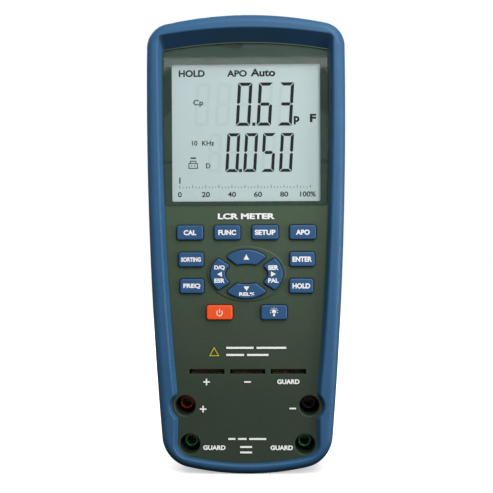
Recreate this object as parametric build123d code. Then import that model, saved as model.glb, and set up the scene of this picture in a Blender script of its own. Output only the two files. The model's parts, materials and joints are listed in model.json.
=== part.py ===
from build123d import *
import os

# Hand-held LCR meter. All sizes are in millimetres.
# The meter stands on its lower end: +X is to the right of someone who reads the display,
# +Y points into the meter from its face, and +Z runs up the case towards the display.
# Y is measured from the middle of the case's depth, X from its centre line, Z from its lower end.

# Overall size
LENGTH = 193.0
DEPTH = 41.0
BACK_Y = DEPTH / 2
CREST_Y = -DEPTH / 2
CREST_Z = 150.0
LOW_CREST_Y = -18.4

# Outline of the whole meter, seen from the front
TOP_CORNER = (41.3, 187.6)
SIDE_MIDDLE = (40.5, 93.0)
LOW_CORNER = (35.2, 5.6)
TOP_CORNER_RADIUS = 10.0
LOW_CORNER_RADIUS = 14.0

# Case halves
RIM_THICKNESS = 3.0
WALL = 2.0
FACE_Y = -16.5
FACE_THICKNESS = 2.2
FACE_BACK_Y = FACE_Y + FACE_THICKNESS
PARTING_Y = 1.0
REAR_PLANE_Y = 19.3
REAR_WALL = 2.2
RIM_ROUND = 3.2
RIM_LIP_ROUND = 0.9
REAR_ROUND = 4.5
REAR_LIP_WIDTH = 6.8
REAR_LIP_ROUND = 0.6
PARTING_CHAMFER = 0.4

# Recess in the front rim that shows the face, at the face itself
FACE_TOP_Z = 181.9
FACE_TOP_CORNER = (35.2, 178.7)
FACE_SIDE_MIDDLE = (34.6, 116.4)
FACE_SIDE_END = (28.9, 29.1)
FACE_LOW_CORNER = (29.6, 8.6)
FACE_LOW_Z = 4.6
FACE_TOP_CORNER_RADIUS = 2.0
FACE_LOW_CORNER_RADIUS = 6.0
SCALLOP_RADIUS = 5.6
SCALLOP_BLEND = 2.5
# How far the recess has widened where it reaches the plane of the highest crest
GROWTH_TOP = 5.8
GROWTH_SIDE = 1.3
GROWTH_LOW_SIDE = 2.4
GROWTH_SCALLOP = 1.2
GROWTH_LOW = 0.6

# Display
LENS_LOW_Z = 113.3
LENS_GAP = 0.5
LENS_FRONT_Y = -17.2
LENS_BACK_Y = -15.7
LENS_CORNER = 1.0
LENS_BEVEL = 0.5
MASK_THICKNESS = 0.15
WINDOW_HALF_WIDTH = 31.2
WINDOW_LOW_Z = 115.1
WINDOW_TOP_Z = 172.6
WINDOW_CORNER = 0.6
WINDOW_OVERLAP = 0.7
GLASS_FRONT_Y = -13.9
GLASS_BACK_Y = -11.7
GLASS_HALF_WIDTH = 32.8
GLASS_LOW_Z = 113.8
GLASS_TOP_Z = 174.8
HOLDER_BORDER = 1.3
BACKLIGHT_HALF_WIDTH = 32.0
BACKLIGHT_LOW_Z = 117.6
BACKLIGHT_TOP_Z = 171.4
ZEBRA_HALF_WIDTH = 31.0
ZEBRA_HEIGHT = 2.2
ZEBRA_EDGE = 0.5

# Keys
KEY_TOP_Y = -18.0
KEY_HEIGHT = 6.1
KEY_CORNER = 1.0
KEY_TOP_ROUND = 0.55
KEY_GAP = 0.25
KEY_FLANGE = 0.6
KEY_FLANGE_FRONT_Y = -14.1
KEY_FLANGE_BACK_Y = -13.1
KEY_BACK_Y = -12.6
PAD_CENTRE_Z = 84.5
PAD_HALF_SIZE = (16.8, 11.9)
PAD_RISE = 0.35
PAD_SLOPE = 0.6

# Boards
BOARD_FRONT_Y = -8.0
BOARD_BACK_Y = -6.4
MAIN_BOARD_LOW_Z = 36.6
MAIN_BOARD_TOP_Z = 184.0
MAT_THICKNESS = 1.0
MAT_HALF_WIDTH = 28.9
MAT_Z_RANGE = (61.5, 107.5)
MAT_CORNER = 2.0
MAT_DOME_TOP_Y = -11.55
MAT_DOME_FOOT_RADIUS = 2.6
MAT_DOME_TOP_RADIUS = 1.6
HOLDER_FRONT_Y = -14.1
INPUT_BOARD_LOW_Z = 9.0
INPUT_BOARD_TOP_Z = 39.6
INPUT_BOARD_FRONT_Y = 9.0
INPUT_BOARD_BACK_Y = 10.6
HEADER_Z = 38.1
HEADER_PINS = 8
HEADER_PITCH = 2.54
HEADER_PIN_RADIUS = 0.35
HEADER_PIN_END = 0.8
HEADER_STRIP_SIZE = 2.5
FUSE_Y = 5.6
FUSE_Z = 22.5
FUSE_GLASS_RADIUS = 2.3
FUSE_GLASS_HALF_LENGTH = 6.5
FUSE_CAP_RADIUS = 2.6
FUSE_CAP_LENGTH = 3.5
FUSE_CLIP_HALF_WIDTH = 1.8

# Parts on the back of the main board
BUZZER_CENTRE = (21.0, 58.0)
BUZZER_RADIUS = 6.0
BUZZER_HEIGHT = 6.5
BUZZER_HOLE_RADIUS = 1.0
BUZZER_HOLE_DEPTH = 1.0
CHIP_SIZES = {
    (0.0, 101.0): (14.0, 14.0),
    (-21.0, 112.0): (7.5, 10.3),
    (21.0, 96.0): (4.0, 5.0),
    (-21.0, 84.0): (4.0, 5.0),
}
CHIP_HEIGHT = 1.6
CHIP_CORNER = 0.3
CAPACITOR_CENTRES = [(23.0, 112.0), (30.0, 112.0), (24.0, 80.0), (-24.0, 62.0)]
CAPACITOR_RADIUS = 2.5
CAPACITOR_HEIGHT = 5.4
CRYSTAL_X = (-28.5, -24.0)
CRYSTAL_Z = (92.0, 103.0)
CRYSTAL_CORNER = 2.2
CRYSTAL_HEIGHT = 3.5
SHIELD_X = (-25.0, 25.0)
SHIELD_Z = (148.0, 174.0)
SHIELD_CORNER = 1.0
SHIELD_HEIGHT = 3.6
SHIELD_SHEET = 0.4

# Test slots and jacks
SLOT_Z = 43.3
SLOT_CENTRES_X = {"plus": -17.0, "minus": 0.2, "guard": 17.4}
SLOT_WIDTH = 14.8
SLOT_HEIGHT = 2.0
SLOT_HOUSING_WALL = 0.8
SLOT_HOUSING_HALF_HEIGHT = 3.6
SLOT_CAVITY_HEIGHT = 3.4
JACK_CENTRES = {
    "plus": (-26.2, 28.9),
    "minus": (26.2, 28.9),
    "guard_left": (-24.3, 12.6),
    "guard_right": (24.3, 12.6),
}
WELL_RADIUS = 4.2
WELL_WALL = 1.4
WELL_BACK_Y = 6.0
WELL_FLOOR = 1.5
WELL_MOUTH_ROUND = 0.6
SLOT_MOUTH_ROUND = 0.25
POST_FRONT_Y = -6.5
POST_RADIUS = 2.75
POST_FLANGE = 1.2
POST_FLANGE_THICKNESS = 1.0
POST_ROUND = 0.2
SOCKET_RADIUS = 2.0
CONTACT_RADIUS = 2.3
CONTACT_PIN_RADIUS = 1.0
POST_LIP = 3.0
LEAF = 0.3

# Battery
BATTERY_WIDTH = 26.5
BATTERY_THICKNESS = 17.5
BATTERY_LENGTH = 46.0
BATTERY_FRONT_Y = -1.0
BATTERY_LOW_Z = 75.5
TUB_HALF_WIDTH = 14.0
TUB_LOW_Z = 75.0
TUB_TOP_Z = 129.0
TUB_FLOOR_Y = -1.2
TUB_WALL = 1.2
TERMINAL_HEIGHT = 2.4
TERMINAL_X = 6.35
TERMINAL_RADIUS = 2.8
TERMINAL_SOCKET_SIZE = 3.9
TERMINAL_SOCKET_BORE = 2.9
SNAP_THICKNESS = 4.0
SNAP_HALF_WIDTH = 12.5
SNAP_HALF_DEPTH = 6.0
SNAP_CORNER = 3.0
SNAP_GAP = 0.2
SNAP_SOCKET_RADIUS = 4.1
LEAD_X = 3.0
LEAD_TOP_Z = 143.0
LEAD_RADIUS = 0.65
FOAM_FRONT_Y = 16.6
FOAM_X = (-8.0, 8.0)
FOAM_Z = (84.0, 110.0)

# Battery door
DOOR_HALF_WIDTH = 19.5
DOOR_LOW_Z = 67.0
DOOR_TOP_Z = 135.0
DOOR_THICKNESS = 2.2
DOOR_GAP = 0.3
DOOR_FRONT_Y = REAR_PLANE_Y - DOOR_THICKNESS
DOOR_CORNER = 2.0
DOOR_LEDGE_Y = 15.6
DOOR_LEDGE_WIDTH = 1.5
DOOR_TABS_X = (-12.0, 12.0)
DOOR_TAB_HALF_WIDTH = 2.4
DOOR_TAB_REACH = 2.4
DOOR_TAB_DROP = 1.2
DOOR_TAB_THICKNESS = 0.9
DOOR_GROOVES = 6
DOOR_GROOVE_PITCH = 2.4
DOOR_GROOVE_LENGTH = 24.0
DOOR_GROOVE_RADIUS = 0.9
DOOR_FIRST_GROOVE_Z = DOOR_LOW_Z + 9.5
DOOR_SCREW = (0.0, 70.3)
DOOR_SCREW_FLOOR_Y = 12.0
DOOR_SCREW_POST_RADIUS = 3.2
DOOR_SCREW_POST_BORE = 2.1
DOOR_SCREW_HEAD_RADIUS = 2.4
DOOR_SCREW_HEAD_DEPTH = 1.4
DOOR_SCREW_HEAD_HEIGHT = 1.3
DOOR_SCREW_SHANK_RADIUS = 1.25
DOOR_SCREW_LENGTH = 4.6
LEAD_SLOT_X = 6.0
LEAD_SLOT_Y = (4.5, 10.5)

# Tilt stand
STAND_AXIS_Z = 150.0
STAND_AXIS_Y = 18.0
STAND_OUTER_X = 29.6
STAND_INNER_X = 22.8
STAND_LOW_Z = 55.0
STAND_BAR_TOP_Z = 64.0
STAND_THICKNESS = 2.6
STAND_GAP = 0.4
STAND_PIN_RADIUS = 1.1
STAND_PIN_LENGTH = 2.0
STAND_PIN_CLEARANCE = 0.08
STAND_CORNER = 8.0
STAND_INNER_CORNER = 3.0
STAND_FLOOR_Y = 16.4
PIN_BLOCK_HALF_HEIGHT = 3.5
PIN_BLOCK_LENGTH = 4.0
PIN_BLOCK_DEPTH = 3.0
FINGER_SCOOP_RADIUS = 5.0
FINGER_SCOOP_LENGTH = 22.0

# Blank recess for a rating label, above the stand
LABEL_X = (-19.0, 19.0)
LABEL_Z = (157.0, 172.0)
LABEL_CORNER = 1.5
LABEL_DEPTH = 0.4

# Screws
UPPER_SCREW = (29.0, 179.5)
LOWER_SCREW = (12.0, 12.0)
SCREW_BOSS_RADIUS = 3.1
SCREW_HEAD_RADIUS = 2.6
SCREW_SHANK_RADIUS = 1.4
SCREW_GRIP = 8.0
SCREW_SEAT_Y = 12.5
SCREW_HEAD_HEIGHT = 2.0
HOLE_END_GAP = 0.5
BOARD_BOSS_RADIUS = 2.4
BOARD_SHANK_RADIUS = 0.9
BOARD_SCREW_GRIP = 4.0
BOARD_SCREW_HEAD_RADIUS = 1.8
BOARD_SCREW_HEAD_HEIGHT = 1.2
BOARD_THICKNESS = BOARD_BACK_Y - BOARD_FRONT_Y
THREAD_GAP = 0.05
INPUT_BOARD_PROPS = [(0.0, 32.0), (0.0, 17.0)]
INPUT_BOARD_PROP_RADIUS = 2.0
BOARD_SCREWS = [(0.0, 180.5), (-31.5, 64.0), (31.5, 64.0), (-29.0, 40.0), (29.0, 40.0)]


def slab(outline, front, back):
    """A solid with the given outline in X and Z, between two depths."""
    return extrude(Plane.XZ.offset(-back) * outline, back - front)


def at(x, z, outline):
    """The outline moved to a place on the face."""
    return Pos(x, z) * outline


def block(x_range, y_range, z_range):
    """A rectangular block between the given limits."""
    centre = [sum(limits) / 2 for limits in (x_range, y_range, z_range)]
    size = [limits[1] - limits[0] for limits in (x_range, y_range, z_range)]
    return Pos(*centre) * Box(*size)


def rectangle(x_range, z_range, corner=0.0):
    """A rectangle on the face between the given limits."""
    width = x_range[1] - x_range[0]
    height = z_range[1] - z_range[0]
    shape = RectangleRounded(width, height, corner) if corner else Rectangle(width, height)
    return at(sum(x_range) / 2, sum(z_range) / 2, shape)


def mirrored(point):
    return (-point[0], point[1])


def bow(start, middle, end, inset=0.0):
    """The disc whose edge passes through three points, smaller all round by the inset."""
    arc = ThreePointArc(start, middle, end)
    inwards = arc.arc_center - Vector(middle)
    seam_turn = Vector(1, 0).get_signed_angle(inwards)
    return Pos(arc.arc_center) * Rot(0, 0, seam_turn) * Circle(arc.radius - inset)


def case_outline(inset=0.0):
    """Outline of the whole meter, moved inwards by the inset: four bowed sides and round corners."""
    side = bow(TOP_CORNER, SIDE_MIDDLE, LOW_CORNER, inset)
    top = bow(mirrored(TOP_CORNER), (0, LENGTH), TOP_CORNER, inset)
    low = bow(mirrored(LOW_CORNER), (0, 0), LOW_CORNER, inset)
    outline = side & side.mirror(Plane.YZ) & top & low
    low_corners, top_corners = outline.vertices().group_by(Axis.Y)
    outline = fillet(top_corners, TOP_CORNER_RADIUS - inset)
    low_corners = outline.vertices().group_by(Axis.Y)[0]
    return fillet(low_corners, LOW_CORNER_RADIUS - inset)


def face_outline(grown=0.0):
    """Outline of the recess that shows the face: 0 at the face itself, 1 at the highest crest."""
    top_z = FACE_TOP_Z + grown * GROWTH_TOP
    top_corner = (FACE_TOP_CORNER[0] + grown * GROWTH_SIDE, FACE_TOP_CORNER[1] + grown * GROWTH_TOP)
    side_middle = (FACE_SIDE_MIDDLE[0] + grown * GROWTH_SIDE, FACE_SIDE_MIDDLE[1])
    side_end = (FACE_SIDE_END[0] + grown * GROWTH_LOW_SIDE, FACE_SIDE_END[1])
    low_corner = (FACE_LOW_CORNER[0] + grown * GROWTH_LOW_SIDE, FACE_LOW_CORNER[1] - grown * GROWTH_LOW)
    side = [ThreePointArc(top_corner, side_middle, side_end), Line(side_end, low_corner)]
    other_side = [edge.mirror(Plane.YZ) for edge in side]
    top = ThreePointArc(mirrored(top_corner), (0, top_z), top_corner)
    low = ThreePointArc(low_corner, (0, FACE_LOW_Z - grown * GROWTH_LOW), mirrored(low_corner))
    outline = make_face([top, *side, low, *other_side])
    outline = fillet(outline.vertices().group_by(Axis.Y)[-1], FACE_TOP_CORNER_RADIUS)
    outline = fillet(outline.vertices().group_by(Axis.Y)[0], FACE_LOW_CORNER_RADIUS)
    return scalloped(outline, SCALLOP_RADIUS + grown * GROWTH_SCALLOP)


def scalloped(outline, radius):
    """The recess's outline, bulging round the two upper jacks."""
    jack_x, jack_z = JACK_CENTRES["minus"]
    discs_at_jacks = [at(x, jack_z, Circle(radius)) for x in (-jack_x, jack_x)]
    joined = outline + discs_at_jacks
    waists = [
        vertex for vertex in joined.vertices()
        if abs(vertex.Y - jack_z) < radius and abs(vertex.X) > jack_x
    ]
    return fillet(waists, SCALLOP_BLEND)


def key_shapes():
    """Outline of each key, by name."""
    rows = [
        (102.0, 11.1, {"cal": -23.7, "func": -8.0, "setup": 7.9, "apo": 23.7}),
        (90.7, 10.5, {"sorting": -23.3, "enter": 23.4}),
        (79.5, 10.0, {"freq": -23.0, "hold": 23.0}),
        (68.4, 10.9, {"power": -11.4, "backlight": 11.5}),
    ]
    shapes = {}
    for z, width, places in rows:
        for name, x in places.items():
            shapes[name] = at(x, z, RectangleRounded(width, KEY_HEIGHT, KEY_CORNER))
    shapes.update(direction_key_shapes())
    return shapes


def direction_key_shapes():
    """The four direction keys round the centre of the pad."""
    tip, top_z, shoulder_z = (8.6, 7.25), 10.35, 3.75
    foot_x = 4.05
    up = make_face([
        ThreePointArc((-tip[0], tip[1]), (0, top_z), tip),
        Line(tip, (foot_x, shoulder_z)),
        ThreePointArc((foot_x, shoulder_z), (0, shoulder_z + 0.4), (-foot_x, shoulder_z)),
        Line((-foot_x, shoulder_z), (-tip[0], tip[1])),
    ])
    up = fillet(up.vertices(), 0.8)
    inner, outer, bulge_x, notch_x = (6.3, 3.2), (11.8, 6.75), 15.3, 9.0
    right = make_face([
        ThreePointArc(outer, (bulge_x, 0), (outer[0], -outer[1])),
        Line((outer[0], -outer[1]), (inner[0], -inner[1])),
        ThreePointArc((inner[0], -inner[1]), (notch_x, 0), inner),
        Line(inner, outer),
    ])
    right = fillet(right.vertices(), 0.9)
    shapes = {
        "up": up,
        "down": up.mirror(Plane.XZ),
        "right": right,
        "left": right.mirror(Plane.YZ),
    }
    return {name: at(0, PAD_CENTRE_Z, shape) for name, shape in shapes.items()}


def make_key(shape):
    """A key cap with the flange that keeps it behind the face."""
    cap = slab(shape, KEY_TOP_Y, KEY_BACK_Y)
    cap = fillet(cap.edges().group_by(Axis.Y)[0], KEY_TOP_ROUND)
    flange = slab(offset(shape, KEY_FLANGE), KEY_FLANGE_FRONT_Y, KEY_FLANGE_BACK_Y)
    return cap + flange


def space_before_crest():
    """Everything in front of the front rim's crest, a shallow arc in the side view."""
    margin = 5.0
    low_z = -margin
    top_z = LENGTH + margin
    fall = LOW_CREST_Y - CREST_Y
    top_y = CREST_Y + fall * ((top_z - CREST_Z) / (CREST_Z - low_z)) ** 2
    ahead_y = CREST_Y - margin
    profile = make_face([
        ThreePointArc((top_y, top_z), (CREST_Y, CREST_Z), (LOW_CREST_Y, low_z)),
        Polyline((LOW_CREST_Y, low_z), (ahead_y, low_z), (ahead_y, top_z), (top_y, top_z)),
    ])
    return extrude(Plane.YZ * profile, LENGTH, both=True)


def front_rim():
    """Soft rim moulded round the front half; its crest falls away towards the jacks."""
    rim = slab(case_outline(), CREST_Y - 1, PARTING_Y) - space_before_crest()
    rim = fillet([e for e in rim.edges() if e.center().Y < FACE_Y - 0.5], RIM_ROUND)
    recess = loft([
        Plane.XZ.offset(-FACE_Y) * face_outline(0.0),
        Plane.XZ.offset(-CREST_Y) * face_outline(1.0),
    ])
    opened = rim - recess
    lip = [e for e in new_edges(rim, recess, combined=opened) if e.center().Y < FACE_Y - 0.5]
    opened = fillet(lip, RIM_LIP_ROUND)
    parting = [e for e in opened.edges() if abs(e.center().Y - PARTING_Y) < 0.01]
    opened = chamfer(parting, PARTING_CHAMFER)
    return opened - slab(case_outline(RIM_THICKNESS), FACE_Y, PARTING_Y)


def rear_rim():
    """Soft rim moulded round the rear half, with the lip that the meter lies on."""
    rim = slab(case_outline(), PARTING_Y, BACK_Y)
    rim = fillet([e for e in rim.edges() if abs(e.center().Y - BACK_Y) < 0.01], REAR_ROUND)
    lip = slab(case_outline(REAR_LIP_WIDTH), REAR_PLANE_Y, BACK_Y + 1)
    opened = rim - lip
    edges = [e for e in new_edges(rim, lip, combined=opened) if abs(e.center().Y - BACK_Y) < 0.01]
    opened = fillet(edges, REAR_LIP_ROUND)
    parting = [e for e in opened.edges() if abs(e.center().Y - PARTING_Y) < 0.01]
    opened = chamfer(parting, PARTING_CHAMFER)
    return opened - slab(case_outline(RIM_THICKNESS), PARTING_Y, REAR_PLANE_Y)


def mirrored_pair(place):
    """The place and its mirror image across the meter's centre line."""
    return [place, mirrored(place)]


def discs(places, radius, front, back):
    """Round solids along Y at each place on the face."""
    return [slab(at(*place, Circle(radius)), front, back) for place in places]


def lens_outline(gap=LENS_GAP):
    """Outline of the display lens inside the rim's recess."""
    top = bow(mirrored(FACE_TOP_CORNER), (0, FACE_TOP_Z), FACE_TOP_CORNER, gap)
    side = bow(FACE_TOP_CORNER, FACE_SIDE_MIDDLE, FACE_SIDE_END, gap)
    outline = top & side & side.mirror(Plane.YZ) & rectangle((-LENGTH, LENGTH), (LENS_LOW_Z, LENGTH))
    return fillet(outline.vertices(), LENS_CORNER)


def display_lens():
    """The clear lens, with a narrow bevel round its front."""
    lens = slab(lens_outline(), LENS_FRONT_Y, LENS_BACK_Y)
    return chamfer(lens.edges().group_by(Axis.Y)[0], LENS_BEVEL)


def window_outline(grown=0.0):
    """The clear window in front of the LCD."""
    half_width = WINDOW_HALF_WIDTH + grown
    z_range = (WINDOW_LOW_Z - grown, WINDOW_TOP_Z + grown)
    return rectangle((-half_width, half_width), z_range, WINDOW_CORNER)


def front_case():
    """Front half of the case: face plate, side walls, jack wells and screw bosses."""
    case = slab(case_outline(RIM_THICKNESS), FACE_Y, PARTING_Y)
    case -= slab(case_outline(RIM_THICKNESS + WALL), FACE_BACK_Y, PARTING_Y + 1)
    jacks = list(JACK_CENTRES.values())
    case += raised_pad()
    case += discs(jacks, WELL_RADIUS + WELL_WALL, FACE_BACK_Y, WELL_BACK_Y)
    case += discs(mirrored_pair(UPPER_SCREW), SCREW_BOSS_RADIUS, FACE_BACK_Y, PARTING_Y)
    case += discs(mirrored_pair(LOWER_SCREW), SCREW_BOSS_RADIUS, FACE_BACK_Y, PARTING_Y)
    case += discs(BOARD_SCREWS, BOARD_BOSS_RADIUS, FACE_BACK_Y, BOARD_FRONT_Y)

    # The openings through the plate
    case -= slab(lens_outline(LENS_GAP - 0.1), FACE_Y - 1, LENS_BACK_Y + MASK_THICKNESS)
    case -= slab(window_outline(WINDOW_OVERLAP), FACE_Y, FACE_BACK_Y + 1)
    key_holes = [offset(shape, KEY_GAP) for shape in key_shapes().values()]
    case -= [slab(hole, KEY_TOP_Y, FACE_BACK_Y + 1) for hole in key_holes]
    wells = discs(jacks, WELL_RADIUS, FACE_Y - 1, WELL_BACK_Y - WELL_FLOOR)
    slots = [
        slab(at(x, SLOT_Z, Rectangle(SLOT_WIDTH, SLOT_HEIGHT)), FACE_Y - 1, FACE_BACK_Y + 1)
        for x in SLOT_CENTRES_X.values()
    ]
    case = rounded_mouths(case, wells, WELL_MOUTH_ROUND)
    case = rounded_mouths(case, slots, SLOT_MOUTH_ROUND)
    case -= discs(jacks, CONTACT_RADIUS + 0.1, WELL_BACK_Y - WELL_FLOOR - 1, WELL_BACK_Y + 1)

    # The screw holes, blind towards the face
    screw_end = PARTING_Y - SCREW_GRIP - HOLE_END_GAP
    case -= discs(mirrored_pair(UPPER_SCREW), SCREW_SHANK_RADIUS, screw_end, PARTING_Y + 1)
    case -= discs(mirrored_pair(LOWER_SCREW), SCREW_SHANK_RADIUS, screw_end, PARTING_Y + 1)
    board_screw_end = BOARD_FRONT_Y - BOARD_SCREW_GRIP - HOLE_END_GAP
    return case - discs(BOARD_SCREWS, BOARD_SHANK_RADIUS, board_screw_end, BOARD_FRONT_Y + 1)


def raised_pad():
    """The low oval plateau that the direction keys stand on."""
    half_width, half_height = PAD_HALF_SIZE
    foot = at(0, PAD_CENTRE_Z, Ellipse(half_width, half_height))
    top = at(0, PAD_CENTRE_Z, Ellipse(half_width - PAD_SLOPE, half_height - PAD_SLOPE))
    return loft([Plane.XZ.offset(-FACE_Y) * foot, Plane.XZ.offset(PAD_RISE - FACE_Y) * top])


def rounded_mouths(case, cutters, radius):
    """The case with the cutters taken out and their mouths on the face rounded."""
    opened = case - cutters
    cut_edges = new_edges(case, *cutters, combined=opened)
    return fillet([e for e in cut_edges if abs(e.center().Y - FACE_Y) < 0.01], radius)


def rear_case():
    """Rear half of the case: back plate, battery tub, door recess, stand pocket and bosses."""
    inside_back_y = REAR_PLANE_Y - REAR_WALL
    case = slab(case_outline(RIM_THICKNESS), PARTING_Y, REAR_PLANE_Y)
    case -= slab(case_outline(RIM_THICKNESS + WALL), PARTING_Y - 1, inside_back_y)
    screws = mirrored_pair(UPPER_SCREW) + mirrored_pair(LOWER_SCREW)
    case += discs(screws, SCREW_BOSS_RADIUS + 1, PARTING_Y, inside_back_y)
    case += discs(INPUT_BOARD_PROPS, INPUT_BOARD_PROP_RADIUS, INPUT_BOARD_BACK_Y, inside_back_y)

    # Room for the backs of the jack wells, which reach past the parting line
    wells = WELL_RADIUS + WELL_WALL + 0.2
    case -= discs(list(JACK_CENTRES.values()), wells, PARTING_Y - 1, WELL_BACK_Y + 0.2)

    # The tray under the stand's pocket, and the blocks that hold the stand's pins
    tray_front_y = STAND_FLOOR_Y - WALL
    tray = stand_outline(STAND_GAP + WALL)
    inner_wall_x = STAND_INNER_X - STAND_GAP - WALL
    tray -= rectangle((-inner_wall_x, inner_wall_x), (STAND_BAR_TOP_Z + 3, LENGTH))
    case += slab(tray, tray_front_y, REAR_PLANE_Y)
    pin_block_y = (STAND_AXIS_Y - PIN_BLOCK_DEPTH, REAR_PLANE_Y)
    pin_block_z = (STAND_AXIS_Z - PIN_BLOCK_HALF_HEIGHT, STAND_AXIS_Z + PIN_BLOCK_HALF_HEIGHT)
    for side in (-1, 1):
        pin_block_x = sorted((side * STAND_OUTER_X, side * (STAND_OUTER_X + PIN_BLOCK_LENGTH)))
        case += block(pin_block_x, pin_block_y, pin_block_z)

    # The battery tub, and the ledge round it that the door lies on
    tub = rectangle((-TUB_HALF_WIDTH, TUB_HALF_WIDTH), (TUB_LOW_Z, TUB_TOP_Z))
    tub_shell = offset(tub, TUB_WALL, kind=Kind.INTERSECTION)
    case += slab(tub_shell, TUB_FLOOR_Y - TUB_WALL, inside_back_y)
    door = door_outline(DOOR_GAP)
    case += slab(offset(door, DOOR_LEDGE_WIDTH), DOOR_LEDGE_Y, inside_back_y)
    case += discs([DOOR_SCREW], DOOR_SCREW_POST_RADIUS, DOOR_SCREW_FLOOR_Y, inside_back_y)
    case -= slab(tub, TUB_FLOOR_Y, REAR_PLANE_Y + 1)
    case -= slab(door, DOOR_FRONT_Y, REAR_PLANE_Y + 1)
    case -= discs([DOOR_SCREW], DOOR_SCREW_POST_BORE, DOOR_SCREW_FLOOR_Y - 1, REAR_PLANE_Y)
    case -= [block(*tab_slot(x)) for x in DOOR_TABS_X]
    case -= block((-LEAD_SLOT_X, LEAD_SLOT_X), LEAD_SLOT_Y, (TUB_TOP_Z - 1, TUB_TOP_Z + TUB_WALL + 1))

    # The stand's pocket, its pin sockets and the finger scoop below it
    pocket = stand_outline(STAND_GAP) - stand_island()
    case -= slab(pocket, STAND_FLOOR_Y, REAR_PLANE_Y + 1)
    socket_length = 2 * (STAND_OUTER_X + STAND_PIN_LENGTH + 0.3)
    axis = Pos(0, STAND_AXIS_Y, STAND_AXIS_Z) * Rot(0, 90, 0)
    sockets = axis * Cylinder(STAND_PIN_RADIUS + STAND_PIN_CLEARANCE, socket_length)
    case -= sockets - block((-STAND_INNER_X, STAND_INNER_X), (0, BACK_Y), (0, LENGTH))
    scoop_x = (-FINGER_SCOOP_LENGTH / 2, FINGER_SCOOP_LENGTH / 2)
    case -= lying_disc(scoop_x, REAR_PLANE_Y + 2, STAND_LOW_Z - 1, FINGER_SCOOP_RADIUS)

    # The case screws' holes and the blank recess for a rating label
    case -= discs(screws, SCREW_SHANK_RADIUS + 0.2, PARTING_Y - 1, REAR_PLANE_Y)
    case -= discs(screws, SCREW_HEAD_RADIUS + 0.4, SCREW_SEAT_Y, REAR_PLANE_Y + 1)
    label = rectangle(LABEL_X, LABEL_Z, LABEL_CORNER)
    return case - slab(label, REAR_PLANE_Y - LABEL_DEPTH, REAR_PLANE_Y + 1)


def stand_outline(grown=0.0):
    """Outer outline of the tilt stand, without the gap between its legs."""
    outer_x = STAND_OUTER_X + grown
    low_z = STAND_LOW_Z - grown
    top_z = STAND_AXIS_Z + STAND_THICKNESS / 2 + grown
    outline = rectangle((-outer_x, outer_x), (low_z, top_z))
    low_corners = outline.vertices().group_by(Axis.Y)[0]
    return fillet(low_corners, STAND_CORNER + grown)


def stand_island(grown=0.0):
    """The part of the back plate between the stand's legs."""
    half_width = STAND_INNER_X - STAND_GAP + grown
    island = rectangle((-half_width, half_width), (STAND_BAR_TOP_Z + STAND_GAP - grown, LENGTH))
    low_corners = island.vertices().group_by(Axis.Y)[0]
    return fillet(low_corners, STAND_INNER_CORNER)


def tilt_stand():
    """A U-shaped leg hinged near the display end, which swings out of its pocket."""
    outline = stand_outline() - stand_island(STAND_GAP)
    stand = slab(outline, REAR_PLANE_Y - STAND_THICKNESS, REAR_PLANE_Y)
    square_ends = block((-LENGTH, LENGTH), (0, BACK_Y), (STAND_AXIS_Z, LENGTH))
    stand -= square_ends
    axis = Pos(0, STAND_AXIS_Y, STAND_AXIS_Z) * Rot(0, 90, 0)
    legs_gap = block((-STAND_INNER_X, STAND_INNER_X), (0, BACK_Y), (STAND_LOW_Z, LENGTH))
    stand += axis * Cylinder(STAND_THICKNESS / 2, 2 * STAND_OUTER_X) - legs_gap
    pins = axis * Cylinder(STAND_PIN_RADIUS, 2 * (STAND_OUTER_X + STAND_PIN_LENGTH))
    stand += pins - block((-STAND_OUTER_X, STAND_OUTER_X), (0, BACK_Y), (0, LENGTH))
    return stand


def door_outline(grown=0.0):
    """Outline of the battery door."""
    half_width = DOOR_HALF_WIDTH + grown
    z_range = (DOOR_LOW_Z - grown, DOOR_TOP_Z + grown)
    return rectangle((-half_width, half_width), z_range, DOOR_CORNER + grown)


def tab_slot(x):
    """Limits of the slot in the ledge that a tab of the battery door reaches through."""
    half_width = DOOR_TAB_HALF_WIDTH + 0.5
    z_range = (DOOR_TOP_Z - DOOR_TAB_REACH - 1.4, DOOR_TOP_Z + DOOR_TAB_REACH + 0.8)
    return (x - half_width, x + half_width), (DOOR_LEDGE_Y - 1, DOOR_FRONT_Y), z_range


def battery_door():
    """The battery door, with grip ribs, two hooked tabs and a countersunk screw hole."""
    door = slab(door_outline(), DOOR_FRONT_Y, REAR_PLANE_Y)
    tab_front_y = DOOR_FRONT_Y - DOOR_TAB_DROP
    tab_low_z = DOOR_TOP_Z - DOOR_TAB_REACH
    for x in DOOR_TABS_X:
        sides = (x - DOOR_TAB_HALF_WIDTH, x + DOOR_TAB_HALF_WIDTH)
        door += block(sides, (tab_front_y, DOOR_FRONT_Y), (tab_low_z, DOOR_TOP_Z - 0.4))
        tab_y = (tab_front_y, tab_front_y + DOOR_TAB_THICKNESS)
        door += block(sides, tab_y, (tab_low_z, DOOR_TOP_Z + DOOR_TAB_REACH))
    groove_x = (-DOOR_GROOVE_LENGTH / 2, DOOR_GROOVE_LENGTH / 2)
    for step in range(DOOR_GROOVES):
        groove_z = DOOR_FIRST_GROOVE_Z + DOOR_GROOVE_PITCH * step
        door -= lying_disc(groove_x, REAR_PLANE_Y + 0.35, groove_z, DOOR_GROOVE_RADIUS)
    head_seat_y = REAR_PLANE_Y - DOOR_SCREW_HEAD_DEPTH
    door -= discs([DOOR_SCREW], DOOR_SCREW_HEAD_RADIUS + 0.3, head_seat_y, REAR_PLANE_Y + 1)
    return door - discs([DOOR_SCREW], DOOR_SCREW_SHANK_RADIUS + 0.15, 0, REAR_PLANE_Y)


def inner_board_outline(z_range):
    """A circuit board outline that follows the case's inside between two heights."""
    return case_outline(RIM_THICKNESS + WALL + 1.0) & rectangle((-LENGTH, LENGTH), z_range)


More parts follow.
